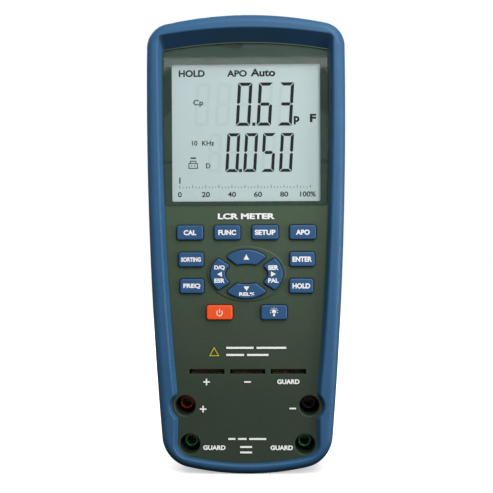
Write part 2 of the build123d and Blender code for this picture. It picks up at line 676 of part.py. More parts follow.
def main_board():
    """The main circuit board behind the keys and the LCD."""
    outline = inner_board_outline((MAIN_BOARD_LOW_Z, MAIN_BOARD_TOP_Z))
    board = slab(outline, BOARD_FRONT_Y, BOARD_BACK_Y)
    board -= discs(mirrored_pair(UPPER_SCREW), SCREW_BOSS_RADIUS + 1.5, BOARD_FRONT_Y, BOARD_BACK_Y)
    board -= discs(BOARD_SCREWS, BOARD_SHANK_RADIUS + 0.2, BOARD_FRONT_Y, BOARD_BACK_Y)
    return board - discs(header_pin_places(), HEADER_PIN_RADIUS, BOARD_FRONT_Y, BOARD_BACK_Y)


def input_board():
    """The small board behind the jacks, which carries their contacts."""
    outline = inner_board_outline((INPUT_BOARD_LOW_Z, INPUT_BOARD_TOP_Z))
    board = slab(outline, INPUT_BOARD_FRONT_Y, INPUT_BOARD_BACK_Y)
    for places, radius in (
        (mirrored_pair(LOWER_SCREW), SCREW_BOSS_RADIUS + 1.5),
        (list(JACK_CENTRES.values()), CONTACT_PIN_RADIUS),
        (header_pin_places(), HEADER_PIN_RADIUS),
    ):
        board -= discs(places, radius, INPUT_BOARD_FRONT_Y, INPUT_BOARD_BACK_Y)
    return board


def header_pin_places():
    """Places of the pins that join the two boards."""
    first_x = -HEADER_PITCH * (HEADER_PINS - 1) / 2
    return [(first_x + HEADER_PITCH * number, HEADER_Z) for number in range(HEADER_PINS)]


def board_header():
    """The two plastic strips that hold the header's pins."""
    strip = at(0, HEADER_Z, Rectangle(HEADER_PITCH * HEADER_PINS, HEADER_STRIP_SIZE))
    strips = slab(strip, BOARD_BACK_Y, BOARD_BACK_Y + HEADER_STRIP_SIZE)
    strips += slab(strip, INPUT_BOARD_FRONT_Y - HEADER_STRIP_SIZE, INPUT_BOARD_FRONT_Y)
    return strips - discs(header_pin_places(), HEADER_PIN_RADIUS, BOARD_BACK_Y, INPUT_BOARD_FRONT_Y)


def header_pins():
    """The pins between the boards, soldered at both ends."""
    front_y = BOARD_FRONT_Y - HEADER_PIN_END
    return discs(header_pin_places(), HEADER_PIN_RADIUS, front_y, INPUT_BOARD_BACK_Y + HEADER_PIN_END)


def keypad_mat():
    """The rubber sheet on the main board, with a dome under each key."""
    sheet_front_y = BOARD_FRONT_Y - MAT_THICKNESS
    sheet = rectangle((-MAT_HALF_WIDTH, MAT_HALF_WIDTH), MAT_Z_RANGE, MAT_CORNER)
    mat = slab(sheet, sheet_front_y, BOARD_FRONT_Y)
    for shape in key_shapes().values():
        centre = shape.bounding_box().center()
        dome_height = sheet_front_y - MAT_DOME_TOP_Y
        dome = Pos(centre.X, sheet_front_y - dome_height / 2, centre.Y) * Rot(90, 0, 0)
        mat += dome * Cone(MAT_DOME_FOOT_RADIUS, MAT_DOME_TOP_RADIUS, dome_height)
    return mat


def lcd_holder():
    """The frame that holds the LCD glass, the backlight and the elastomer connectors."""
    frame = fillet(glass_outline(HOLDER_BORDER).vertices(), 1.0)
    holder = slab(frame, HOLDER_FRONT_Y, BOARD_FRONT_Y - 0.1)
    holder -= slab(glass_outline(0.2), HOLDER_FRONT_Y - 1, GLASS_BACK_Y + 0.1)
    holder -= slab(backlight_outline(0.2), HOLDER_FRONT_Y, BOARD_FRONT_Y - 1.0)
    strip_slots = [offset(strip, 0.1) for strip in zebra_outlines()]
    return holder - [slab(slot, HOLDER_FRONT_Y, BOARD_FRONT_Y) for slot in strip_slots]


def glass_outline(grown=0.0):
    """Outline of the LCD glass."""
    half_width = GLASS_HALF_WIDTH + grown
    return rectangle((-half_width, half_width), (GLASS_LOW_Z - grown, GLASS_TOP_Z + grown))


def backlight_outline(grown=0.0):
    """Outline of the backlight's light guide."""
    half_width = BACKLIGHT_HALF_WIDTH + grown
    return rectangle((-half_width, half_width), (BACKLIGHT_LOW_Z - grown, BACKLIGHT_TOP_Z + grown))


def zebra_outlines():
    """Outlines of the two elastomer connectors below and above the backlight."""
    low_z = GLASS_LOW_Z + ZEBRA_EDGE
    top_z = GLASS_TOP_Z - ZEBRA_EDGE - ZEBRA_HEIGHT
    across = (-ZEBRA_HALF_WIDTH, ZEBRA_HALF_WIDTH)
    return [rectangle(across, (z, z + ZEBRA_HEIGHT)) for z in (low_z, top_z)]


def slot_housing():
    """The block behind the three test slots, with a cavity for each pair of contacts."""
    reach = SLOT_WIDTH / 2 + SLOT_HOUSING_WALL
    across = (SLOT_CENTRES_X["plus"] - reach, SLOT_CENTRES_X["guard"] + reach)
    z_range = (SLOT_Z - SLOT_HOUSING_HALF_HEIGHT, SLOT_Z + SLOT_HOUSING_HALF_HEIGHT)
    housing = slab(rectangle(across, z_range, 0.5), FACE_BACK_Y, BOARD_FRONT_Y)
    cavity = Rectangle(SLOT_WIDTH + 0.4, SLOT_CAVITY_HEIGHT)
    back_y = BOARD_FRONT_Y - SLOT_HOUSING_WALL
    places = [at(x, SLOT_Z, cavity) for x in SLOT_CENTRES_X.values()]
    return housing - [slab(place, FACE_BACK_Y - 1, back_y) for place in places]


def slot_contacts(x):
    """A folded spring strip whose two leaves grip a component's lead."""
    half_width = SLOT_WIDTH / 2 - 0.6
    back_y = BOARD_FRONT_Y - SLOT_HOUSING_WALL
    front_y = FACE_BACK_Y + 0.2
    across = (x - half_width, x + half_width)
    strip = block(across, (back_y - LEAF, back_y), (SLOT_Z - 1.1, SLOT_Z + 1.1))
    for side in (-1, 1):
        lips = [(front_y, 1.3), (front_y + 1.6, 0.35), (front_y + 3.0, 0.55), (back_y, 0.9)]
        outer = [(y, SLOT_Z + side * (z + LEAF)) for y, z in lips]
        inner = [(y, SLOT_Z + side * z) for y, z in reversed(lips)]
        leaf = make_face(Polyline(*outer, *inner, close=True))
        strip += extrude(Plane.YZ.offset(across[0]) * leaf, across[1] - across[0])
    return strip


def jack_post(place):
    """A coloured insulating post that stands in a jack well."""
    foot_y = WELL_BACK_Y - WELL_FLOOR
    post = slab(at(*place, Circle(POST_RADIUS)), POST_FRONT_Y, foot_y)
    post += slab(at(*place, Circle(POST_RADIUS + POST_FLANGE)), foot_y - POST_FLANGE_THICKNESS, foot_y)
    post = fillet(post.edges().group_by(Axis.Y)[0], POST_ROUND)
    post -= slab(at(*place, Circle(SOCKET_RADIUS + 0.05)), POST_FRONT_Y - 1, foot_y)
    return post - slab(at(*place, Circle(CONTACT_RADIUS)), POST_FRONT_Y + POST_LIP, foot_y)


def jack_contact(place):
    """A tubular contact for a 4 mm plug, with a pin for the input board."""
    front_y = POST_FRONT_Y + POST_LIP
    tube_end_y = WELL_BACK_Y + 1.0
    contact = slab(at(*place, Circle(CONTACT_RADIUS)), front_y, tube_end_y)
    contact -= slab(at(*place, Circle(SOCKET_RADIUS)), front_y - 1, WELL_BACK_Y - 0.5)
    pin_end_y = INPUT_BOARD_BACK_Y + 1.0
    return contact + slab(at(*place, Circle(CONTACT_PIN_RADIUS)), tube_end_y, pin_end_y)


def battery_terminal_places():
    return mirrored_pair((TERMINAL_X, BATTERY_FRONT_Y + BATTERY_THICKNESS / 2))


def battery():
    """A 9 V battery's case."""
    x_range = (-BATTERY_WIDTH / 2, BATTERY_WIDTH / 2)
    y_range = (BATTERY_FRONT_Y, BATTERY_FRONT_Y + BATTERY_THICKNESS)
    cell = block(x_range, y_range, (BATTERY_LOW_Z, BATTERY_LOW_Z + BATTERY_LENGTH))
    cell = fillet(cell.edges().filter_by(Axis.Z), 2.0)
    ends = cell.faces().sort_by(Axis.Z)
    return fillet(ends[-1].edges() + ends[0].edges(), 0.6)


def standing_disc(x, y, radius, z_range):
    """A round solid along Z."""
    height = z_range[1] - z_range[0]
    return Pos(x, y, sum(z_range) / 2) * Cylinder(radius, height)


def battery_terminals():
    """The round and the hexagonal terminal on the battery's end."""
    (right_x, y), (left_x, _) = battery_terminal_places()
    top_z = BATTERY_LOW_Z + BATTERY_LENGTH
    end_z = top_z + TERMINAL_HEIGHT
    socket = Pos(left_x, y, top_z) * extrude(RegularPolygon(TERMINAL_SOCKET_SIZE, 6), TERMINAL_HEIGHT)
    socket -= standing_disc(left_x, y, TERMINAL_SOCKET_BORE, (top_z + 0.5, end_z))
    return [standing_disc(right_x, y, TERMINAL_RADIUS, (top_z, end_z)), socket]


def battery_snap():
    """The snap connector that clips on the battery's terminals."""
    y = BATTERY_FRONT_Y + BATTERY_THICKNESS / 2
    low_z = BATTERY_LOW_Z + BATTERY_LENGTH + SNAP_GAP
    y_range = (y - SNAP_HALF_DEPTH, y + SNAP_HALF_DEPTH)
    snap = block((-SNAP_HALF_WIDTH, SNAP_HALF_WIDTH), y_range, (low_z, low_z + SNAP_THICKNESS))
    snap = fillet(snap.edges().filter_by(Axis.Z), SNAP_CORNER)
    for x, _ in battery_terminal_places():
        snap -= standing_disc(x, y, SNAP_SOCKET_RADIUS, (low_z, low_z + TERMINAL_HEIGHT))
    return snap


def battery_lead(x):
    """A lead from the snap through the tub's end wall to the main board."""
    start_z = BATTERY_LOW_Z + BATTERY_LENGTH + SNAP_GAP + SNAP_THICKNESS
    y = BATTERY_FRONT_Y + BATTERY_THICKNESS / 2
    bend = 0.45 * (y - BOARD_BACK_Y)
    start, corner, end = (x, y, start_z), (x, y, LEAD_TOP_Z), (x, BOARD_BACK_Y, LEAD_TOP_Z)
    route = FilletPolyline(start, corner, end, radius=bend)
    print("battery lead: length", round(route.length, 1), "bend radius", round(bend, 1))
    section = Plane(origin=start, z_dir=(0, 0, 1)) * Circle(LEAD_RADIUS)
    return sweep(section, route)


def buzzer():
    """A round piezo buzzer on the back of the main board."""
    top_y = BOARD_BACK_Y + BUZZER_HEIGHT
    can = slab(at(*BUZZER_CENTRE, Circle(BUZZER_RADIUS)), BOARD_BACK_Y, top_y)
    return can - discs([BUZZER_CENTRE], BUZZER_HOLE_RADIUS, top_y - BUZZER_HOLE_DEPTH, top_y + 1)


def chips():
    """The measuring chip and three smaller ones on the back of the main board."""
    return [
        slab(at(*place, RectangleRounded(*size, CHIP_CORNER)), BOARD_BACK_Y, BOARD_BACK_Y + CHIP_HEIGHT)
        for place, size in CHIP_SIZES.items()
    ]


def capacitors():
    """Four small cans on the back of the main board."""
    return discs(CAPACITOR_CENTRES, CAPACITOR_RADIUS, BOARD_BACK_Y, BOARD_BACK_Y + CAPACITOR_HEIGHT)


def crystal():
    """The clock crystal in its flat can."""
    outline = rectangle(CRYSTAL_X, CRYSTAL_Z, CRYSTAL_CORNER)
    return slab(outline, BOARD_BACK_Y, BOARD_BACK_Y + CRYSTAL_HEIGHT)


def shield():
    """A folded metal can over the analogue part of the main board."""
    outline = rectangle(SHIELD_X, SHIELD_Z, SHIELD_CORNER)
    top_y = BOARD_BACK_Y + SHIELD_HEIGHT
    can = slab(outline, BOARD_BACK_Y, top_y)
    return can - slab(offset(outline, -SHIELD_SHEET), BOARD_BACK_Y, top_y - SHIELD_SHEET)


def lying_disc(x_range, y, z, radius):
    """A round solid along X."""
    return Pos(sum(x_range) / 2, y, z) * Rot(0, 90, 0) * Cylinder(radius, x_range[1] - x_range[0])


def fuse_glass():
    """The fuse's glass tube, across the meter on the input board."""
    x_range = (-FUSE_GLASS_HALF_LENGTH, FUSE_GLASS_HALF_LENGTH)
    return lying_disc(x_range, FUSE_Y, FUSE_Z, FUSE_GLASS_RADIUS)


def fuse_clips():
    """The fuse's two end caps in their clips on the input board."""
    clips = []
    for low_x in (-FUSE_GLASS_HALF_LENGTH - FUSE_CAP_LENGTH, FUSE_GLASS_HALF_LENGTH):
        cap_x = (low_x, low_x + FUSE_CAP_LENGTH)
        cap = lying_disc(cap_x, FUSE_Y, FUSE_Z, FUSE_CAP_RADIUS)
        clip_z = (FUSE_Z - FUSE_CLIP_HALF_WIDTH, FUSE_Z + FUSE_CLIP_HALF_WIDTH)
        clips.append(cap + block(cap_x, (FUSE_Y, INPUT_BOARD_FRONT_Y), clip_z))
    return clips


def screws(places, head_radius, shank_radius, seat_y, head_height, grip):
    """Cross-head screws driven in from behind."""
    made = []
    for x, z in places:
        screw = slab(at(x, z, Circle(head_radius)), seat_y, seat_y + head_height)
        screw = fillet(screw.edges().group_by(Axis.Y)[-1], head_height * 0.4)
        screw += slab(at(x, z, Circle(shank_radius)), seat_y - grip, seat_y)
        arm = head_radius * 1.1
        cross = Rectangle(arm, arm * 0.25) + Rectangle(arm * 0.25, arm)
        made.append(screw - slab(at(x, z, cross), seat_y + head_height * 0.4, seat_y + head_height))
    return made


def door_screw():
    """The screw that holds the battery door shut."""
    seat_y = REAR_PLANE_Y - DOOR_SCREW_HEAD_DEPTH
    radii = (DOOR_SCREW_HEAD_RADIUS, DOOR_SCREW_SHANK_RADIUS)
    return screws([DOOR_SCREW], *radii, seat_y, DOOR_SCREW_HEAD_HEIGHT, DOOR_SCREW_LENGTH)


def case_screws():
    """The four screws that join the case halves."""
    places = mirrored_pair(UPPER_SCREW) + mirrored_pair(LOWER_SCREW)
    radii = (SCREW_HEAD_RADIUS, SCREW_SHANK_RADIUS - THREAD_GAP)
    length = SCREW_SEAT_Y - PARTING_Y + SCREW_GRIP
    return screws(places, *radii, SCREW_SEAT_Y, SCREW_HEAD_HEIGHT, length)


def board_screws():
    """The screws that hold the main board to the front case."""
    radii = (BOARD_SCREW_HEAD_RADIUS, BOARD_SHANK_RADIUS - THREAD_GAP)
    length = BOARD_THICKNESS + BOARD_SCREW_GRIP
    return screws(BOARD_SCREWS, *radii, BOARD_BACK_Y, BOARD_SCREW_HEAD_HEIGHT, length)


def save(name, shape):
    """Write one piece of the meter, which may be several like solids."""
    solids = Compound(children=shape) if isinstance(shape, list) else shape
    export_step(solids, f"parts/{name}.step")


def main():
    os.makedirs("parts", exist_ok=True)
    save("front_case", front_case())
    save("front_rim", front_rim())
    save("rear_case", rear_case())
    save("rear_rim", rear_rim())
    save("display_lens", display_lens())
    mask = lens_outline() - window_outline()
    save("lens_mask", slab(mask, LENS_BACK_Y, LENS_BACK_Y + MASK_THICKNESS))
    for name, shape in key_shapes().items():
        save(f"key_{name}", make_key(shape))
    save("keypad_mat", keypad_mat())
    save("main_board", main_board())
    save("input_board", input_board())
    save("board_header", board_header())
    save("header_pins", header_pins())
    save("lcd_glass", slab(glass_outline(), GLASS_FRONT_Y, GLASS_BACK_Y))
    save("lcd_holder", lcd_holder())
    save("backlight", slab(backlight_outline(), GLASS_BACK_Y + 0.1, BOARD_FRONT_Y - 1.0))
    save("zebra_strips", [slab(strip, GLASS_BACK_Y, BOARD_FRONT_Y) for strip in zebra_outlines()])
    save("slot_housing", slot_housing())
    for name, x in SLOT_CENTRES_X.items():
        save(f"slot_contacts_{name}", slot_contacts(x))
    for name, place in JACK_CENTRES.items():
        save(f"jack_post_{name}", jack_post(place))
        save(f"jack_contact_{name}", jack_contact(place))
    save("battery", battery())
    save("battery_terminals", battery_terminals())
    save("battery_snap", battery_snap())
    save("battery_lead_red", battery_lead(LEAD_X))
    save("battery_lead_black", battery_lead(-LEAD_X))
    save("battery_pad", slab(rectangle(FOAM_X, FOAM_Z, 1.0), FOAM_FRONT_Y, DOOR_FRONT_Y))
    save("battery_door", battery_door())
    save("door_screw", door_screw())
    save("tilt_stand", tilt_stand())
    save("case_screws", case_screws())
    save("board_screws", board_screws())
    save("buzzer", buzzer())
    save("chips", chips())
    save("capacitors", capacitors())
    save("crystal", crystal())
    save("shield", shield())
    save("fuse_glass", fuse_glass())
    save("fuse_clips", fuse_clips())


main()
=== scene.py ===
import json
import math

import bmesh
import bpy
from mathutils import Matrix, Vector


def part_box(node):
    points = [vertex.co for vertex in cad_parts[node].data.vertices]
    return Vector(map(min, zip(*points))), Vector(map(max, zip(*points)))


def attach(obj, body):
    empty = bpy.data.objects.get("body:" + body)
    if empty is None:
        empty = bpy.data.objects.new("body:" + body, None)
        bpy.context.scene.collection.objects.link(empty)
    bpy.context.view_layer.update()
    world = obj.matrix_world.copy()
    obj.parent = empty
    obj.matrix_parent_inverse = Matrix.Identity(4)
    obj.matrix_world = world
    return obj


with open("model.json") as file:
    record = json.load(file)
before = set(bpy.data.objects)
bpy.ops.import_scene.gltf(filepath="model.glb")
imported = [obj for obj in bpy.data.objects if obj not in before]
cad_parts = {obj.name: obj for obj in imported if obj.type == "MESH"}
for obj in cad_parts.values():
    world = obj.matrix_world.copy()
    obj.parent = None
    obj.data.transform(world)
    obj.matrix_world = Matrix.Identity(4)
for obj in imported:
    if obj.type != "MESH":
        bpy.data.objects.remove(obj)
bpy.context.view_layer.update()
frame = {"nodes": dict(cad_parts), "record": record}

# A hand-held component meter that stands on its lower end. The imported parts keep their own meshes
# and take procedural materials here. What is printed on them and shown on the display is added as
# thin raised pieces.

MM = 0.001

# ---------------------------------------------------------------- colours, linear

CASE_GREEN = (0.062, 0.104, 0.059)
RIM_BLUE = (0.031, 0.126, 0.268)
KEY_BLUE = (0.021, 0.094, 0.232)
KEY_ORANGE = (1.0, 0.100, 0.012)
MASK_GREEN = (0.044, 0.076, 0.058)
PRINT_WHITE = (0.97, 0.98, 0.97)
PRINT_YELLOW = (0.72, 0.66, 0.03)
LCD_FIELD = (0.585, 0.650, 0.685)
LCD_INK = (0.010, 0.012, 0.022)
LCD_UNLIT = (0.548, 0.608, 0.642)
LCD_PAINTED_GLOW = 0.20
SILICONE_GREY = (0.25, 0.25, 0.26)
PLASTIC_BLACK = (0.02, 0.02, 0.02)
HOLDER_WHITE = (0.7, 0.7, 0.68)
JET_BLACK = (0.015, 0.015, 0.017)
ZEBRA_PINK = (0.5, 0.3, 0.3)
LIGHT_GUIDE_WHITE = (0.85, 0.88, 0.9)
POST_RED = (1.0, 0.030, 0.012)
POST_GREEN = (0.004, 0.62, 0.20)
LEAD_RED = (0.6, 0.02, 0.02)
LEAD_BLACK = (0.012, 0.012, 0.012)
LENS_TINT = (0.95, 0.98, 0.965)
FUSE_TINT = (0.93, 0.96, 0.95)
RESIST_GREEN = (0.012, 0.09, 0.035)
TRACK_GREEN = (0.03, 0.19, 0.07)
DARK_BRONZE = (0.34, 0.25, 0.15)
DARK_BRASS = (0.20, 0.16, 0.09)
STEEL = (0.6, 0.6, 0.58)
ALUMINIUM = (0.75, 0.75, 0.76)
TINNED_STEEL = (0.7, 0.7, 0.68)
FOAM_BLACK = (0.03, 0.03, 0.03)
SLEEVE_BLACK = (0.02, 0.02, 0.022)
SLEEVE_COPPER = (0.72, 0.36, 0.16)

# ---------------------------------------------------------------- sizes used by the materials, mm

GAP_SHADE_REACH = 1.1  # how near another surface the painted shade in gaps reaches
EDGE_LIGHT_ROUND = 0.5  # edges sharper than this are made lighter, as wear and as a painted highlight
LOW_SHADE_BOTTOM = 30.0  # up the case, where the painted shade of the lower end is full
LOW_SHADE_TOP = 122.0  # and where it ends
TRACK_PITCH = 2.4
PORE_SIZE = 0.5
BAND_EDGE = 0.2  # over which a battery sleeve's two colours meet
HEAD_ON_MIRROR = 0.04  # the share of light that clear plastic mirrors when it is looked at head on
BAND_SHARE = 0.28  # of the battery's length that its coloured band takes

# ---------------------------------------------------------------- material helpers


class Shader:
    """One material: a Principled shader, with object coordinates that are the frame's own metres."""

    def __init__(self, name):
        self.material = bpy.data.materials.new(name)
        self.material.use_nodes = True
        self.tree = self.material.node_tree
        self.principled = self.tree.nodes["Principled BSDF"]
        self.place = self.node("ShaderNodeTexCoord").outputs["Object"]

    def node(self, kind, **settings):
        made = self.tree.nodes.new(kind)
        for key, value in settings.items():
            setattr(made, key, value)
        return made

    def link(self, source, target):
        self.tree.links.new(source, target)

    def set(self, socket, value):
        """A plain value, or a colour, or the output of another node."""
        target = self.principled.inputs[socket] if isinstance(socket, str) else socket
        if isinstance(value, bpy.types.NodeSocket):
            self.link(value, target)
        elif isinstance(value, tuple):
            target.default_value = (*value[:3], 1.0)
        else:
            target.default_value = value

    def noise(self, size, detail=2.0, stretch=(1, 1, 1)):
        """Noise whose blobs are about size mm across, longer where stretch is more than 1."""
        mapping = self.node("ShaderNodeMapping")
        mapping.inputs["Scale"].default_value = [1 / s for s in stretch]
        self.link(self.place, mapping.inputs["Vector"])
        texture = self.node("ShaderNodeTexNoise")
        texture.inputs["Scale"].default_value = 1 / (size * MM)
        texture.inputs["Detail"].default_value = detail
        self.link(mapping.outputs["Vector"], texture.inputs["Vector"])
        return texture.outputs["Fac"]

    def cells(self, size):
        """Distance inside rounded cells about size mm across."""
        texture = self.node("ShaderNodeTexVoronoi")
        texture.inputs["Scale"].default_value = 1 / (size * MM)
        self.link(self.place, texture.inputs["Vector"])
        return texture.outputs["Distance"]

    def spread(self, value, low, high, start=0.3, end=0.7):
        """value mapped from start..end to low..high."""
        node = self.node("ShaderNodeMapRange")
        node.inputs["From Min"].default_value = start
        node.inputs["From Max"].default_value = end
        node.inputs["To Min"].default_value = low
        node.inputs["To Max"].default_value = high
        self.link(value, node.inputs["Value"])
        return node.outputs["Result"]

    def mix(self, share, first, second):
        """first where share is 0 and second where it is 1, as colours."""
        node = self.node("ShaderNodeMix", data_type="RGBA")
        self.set(node.inputs["Factor"], share)
        self.set(node.inputs[6], first)
        self.set(node.inputs[7], second)
        return node.outputs[2]

    def sums(self, operation, first, second):
        node = self.node("ShaderNodeMath", operation=operation)
        self.set(node.inputs[0], first)
        self.set(node.inputs[1], second)
        return node.outputs["Value"]

    def edges(self, radius):
        """1 on edges sharper than a round of radius mm, 0 on open surfaces."""
        bevel = self.node("ShaderNodeBevel", samples=4)
        bevel.inputs["Radius"].default_value = radius * MM
        normal = self.node("ShaderNodeNewGeometry").outputs["Normal"]
        alike = self.node("ShaderNodeVectorMath", operation="DOT_PRODUCT")
        self.link(bevel.outputs["Normal"], alike.inputs[0])
        self.link(normal, alike.inputs[1])
        return self.spread(alike.outputs["Value"], 1.0, 0.0, start=0.82, end=0.995)

    def creases(self, reach):
        """1 deep in gaps and corners, 0 on surfaces with nothing within reach mm in front of them."""
        shut_in = self.node("ShaderNodeAmbientOcclusion", samples=8)
        shut_in.inputs["Distance"].default_value = reach * MM
        return self.spread(shut_in.outputs["AO"], 1.0, 0.0, start=0.45, end=0.97)

    def bump(self, height, depth):
        """Relief of height times depth mm."""
        node = self.node("ShaderNodeBump")
        node.inputs["Strength"].default_value = 1.0
        node.inputs["Distance"].default_value = depth * MM
        self.link(height, node.inputs["Height"])
        self.link(node.outputs["Normal"], self.principled.inputs["Normal"])

    def facing_down(self, share):
        """share on faces that look straight down, 0 on those that look level or up."""
        axes = self.node("ShaderNodeSeparateXYZ")
        self.link(self.node("ShaderNodeNewGeometry").outputs["Normal"], axes.inputs["Vector"])
        return self.spread(axes.outputs["Z"], 0, share, start=0.0, end=-0.6)

    def height(self, low, high, start, end):
        """low below start and high above end, both heights in metres, and a smooth change between."""
        axes = self.node("ShaderNodeSeparateXYZ")
        self.link(self.place, axes.inputs["Vector"])
        return self.spread(axes.outputs["Z"], low, high, start, end)


def shade(colour, factor):
    """The colour made lighter or darker by a factor."""
    return tuple(min(1.0, c * factor) for c in colour)


def moulded(
    name, colour, roughness=0.5, grain=0.35, depth=0.02, mottle=0.06, wear=0.25, specular=0.5,
    underside_shade=0.0, low_end_shade=0.0, gap_shade=0.0,
):
    """Moulded plastic or rubber: a spark-eroded grain, slow colour drift, and edges made a little
    lighter, partly as wear and partly as a painted highlight. gap_shade paints shade into gaps,
    underside_shade paints shade on undersides, and low_end_shade paints shade that grows towards the
    lower end."""
    made = Shader(name)
    drift = made.spread(made.noise(14), 0, 1)
    base = made.mix(drift, shade(colour, 1 - mottle), shade(colour, 1 + mottle))
    speckle = made.spread(made.noise(grain), 0, 1, 0.35, 0.65)
    speck = made.mix(0.5, base, shade(colour, 0.72))
    base = made.mix(made.sums("MULTIPLY", speckle, 0.6), base, speck)
    # Sharp edges made lighter in patches: partly wear, partly a painted highlight along the edges.
    if wear:
        edge_light_patches = made.spread(made.noise(3), 0.35 * wear, wear)
        worn = made.sums("MULTIPLY", made.edges(EDGE_LIGHT_ROUND), edge_light_patches)
        base = made.mix(worn, base, shade(colour, 1.9))
    # Painted shade: gaps and corners are made darker the more shut in they are.
    if gap_shade:
        gap_shaded = made.sums("MULTIPLY", made.creases(GAP_SHADE_REACH), gap_shade)
        base = made.mix(gap_shaded, base, shade(colour, 0.15))
    # Painted shade: faces that look down are made darker.
    if underside_shade:
        base = made.mix(made.facing_down(underside_shade), base, shade(colour, 0.2))
    # Painted shade: the lower end is made darker, as though less light reached it.
    if low_end_shade:
        low_shaded = made.height(low_end_shade, 0.0, LOW_SHADE_BOTTOM * MM, LOW_SHADE_TOP * MM)
        base = made.mix(low_shaded, base, shade(colour, 0.3))
    made.set("Base Color", base)
    made.set("Roughness", made.spread(made.noise(5, 4), roughness - 0.06, roughness + 0.07))
    made.set("Specular IOR Level", specular)
    relief = made.sums("ADD", made.noise(grain, 3), made.sums("MULTIPLY", made.cells(grain * 1.6), 0.6))
    made.bump(relief, depth)
    return made.material


def metal(name, colour, roughness=0.3, brushed=(8, 1, 1), tarnish=0.2):
    """Plated or drawn metal with fine draw lines and a slow tarnish."""
    made = Shader(name)
    lines = made.noise(0.12, 4, brushed)
    stain = made.spread(made.noise(2.5, 4), 0, tarnish)
    made.set("Base Color", made.mix(stain, colour, shade(colour, 0.45)))
    made.set("Metallic", 1.0)
    drawn = made.spread(lines, roughness - 0.06, roughness + 0.08)
    made.set("Roughness", made.sums("ADD", drawn, stain))
    made.bump(lines, 0.004)
    return made.material


def glossy(name, colour, roughness=0.18, ripple=0.004, specular=0.5):
    """Smooth gloss plastic, with faint flow ripples and dust-dull patches."""
    made = Shader(name)
    drift = made.spread(made.noise(9), 0, 1)
    made.set("Base Color", made.mix(drift, shade(colour, 0.93), shade(colour, 1.07)))
    made.set("Roughness", made.spread(made.noise(1.2, 5), roughness - 0.05, roughness + 0.09))
    made.set("Specular IOR Level", specular)
    made.bump(made.noise(2.2, 2), ripple)
    return made.material


def clear_window(name, tint, roughness=0.02):
    """Thin clear plastic or glass: it mirrors a share that grows at glancing angles, and lets the rest
    straight through."""
    made = Shader(name)
    through = made.node("ShaderNodeBsdfTransparent")
    made.set(through.inputs["Color"], tint)
    mirror = made.node("ShaderNodeBsdfGlossy")
    smear = made.spread(made.noise(6, 4), roughness, roughness + 0.03)
    made.link(smear, mirror.inputs["Roughness"])
    turned = made.node("ShaderNodeLayerWeight").outputs["Facing"]
    share = made.sums("MULTIPLY", made.sums("POWER", turned, 5.0), 1 - HEAD_ON_MIRROR)
    blend = made.node("ShaderNodeMixShader")
    made.link(made.sums("ADD", share, HEAD_ON_MIRROR), blend.inputs["Fac"])
    made.link(through.outputs["BSDF"], blend.inputs[1])
    made.link(mirror.outputs["BSDF"], blend.inputs[2])
    made.link(blend.outputs["Shader"], made.tree.nodes["Material Output"].inputs["Surface"])
    made.tree.nodes.remove(made.principled)
    return made.material


def circuit_board(name, resist, copper):
    """Solder resist over copper: square-cornered tracks show as a lighter green."""
    made = Shader(name)
    tracks = made.node("ShaderNodeTexVoronoi", feature="F1", distance="CHEBYCHEV")
    tracks.inputs["Scale"].default_value = 1 / (TRACK_PITCH * MM)
    made.link(made.place, tracks.inputs["Vector"])
    mask = made.spread(tracks.outputs["Distance"], 0, 1, 0.44, 0.5)
    made.set("Base Color", made.mix(mask, resist, copper))
    made.set("Roughness", made.spread(made.noise(1.5, 3), 0.2, 0.34))
    made.bump(mask, 0.02)
    return made.material


def polariser(name, colour):
    """The display's front film: satin, with a very fine sparkle, a faint slow tint and a faint painted
    glow.
    """
    made = Shader(name)
    tint = made.spread(made.noise(16, 2), 0, 1)
    warmer = (colour[0] * 1.03, colour[1], colour[2] * 1.01)
    base = made.mix(tint, shade(colour, 0.975), warmer)
    sparkle = made.spread(made.noise(0.12, 2), 0, 0.22)
    made.set("Base Color", made.mix(sparkle, base, shade(colour, 0.86)))
    made.set("Roughness", made.spread(made.noise(0.2, 2), 0.34, 0.5))
    # Painted light: the film glows a little by itself, with no lamp behind it.
    made.set("Emission Color", colour)
    made.set("Emission Strength", LCD_PAINTED_GLOW)
    made.bump(made.noise(0.15, 2), 0.003)
    return made.material


def foam(name, colour):
    """Open foam: dark pores between lighter walls."""
    made = Shader(name)
    pores = made.cells(PORE_SIZE)
    walls = made.spread(pores, 0, 1, 0.1, 0.5)
    made.set("Base Color", made.mix(walls, shade(colour, 0.4), shade(colour, 1.6)))
    made.set("Roughness", made.spread(made.noise(0.4), 0.85, 0.98))
    made.bump(pores, 0.15)
    return made.material


def sleeve(name, colour, band, band_z):
    """A battery's printed sleeve: dark, with a copper-coloured band above band_z, in metres."""
    made = Shader(name)
    height = made.node("ShaderNodeSeparateXYZ")
    made.link(made.place, height.inputs["Vector"])
    top = made.spread(height.outputs["Z"], 0, 1, band_z, band_z + BAND_EDGE * MM)
    made.set("Base Color", made.mix(top, colour, band))
    made.set("Metallic", made.sums("MULTIPLY", top, 0.8))
    made.set("Roughness", made.spread(made.noise(3, 4), 0.22, 0.36))
    made.bump(made.noise(1.5), 0.01)
    return made.material


BATTERY_LOW, BATTERY_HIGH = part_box("battery")
BAND_Z = BATTERY_HIGH.z - BAND_SHARE * (BATTERY_HIGH.z - BATTERY_LOW.z)

# Settings that several of the moulded finishes share
CASE_SKIN = {"grain": 0.55, "depth": 0.05, "specular": 0.4}
KEY_SKIN = {"roughness": 0.40, "grain": 0.25, "depth": 0.006}
PLAIN_EDGES = {"wear": 0, "depth": 0.01, "grain": 0.4}
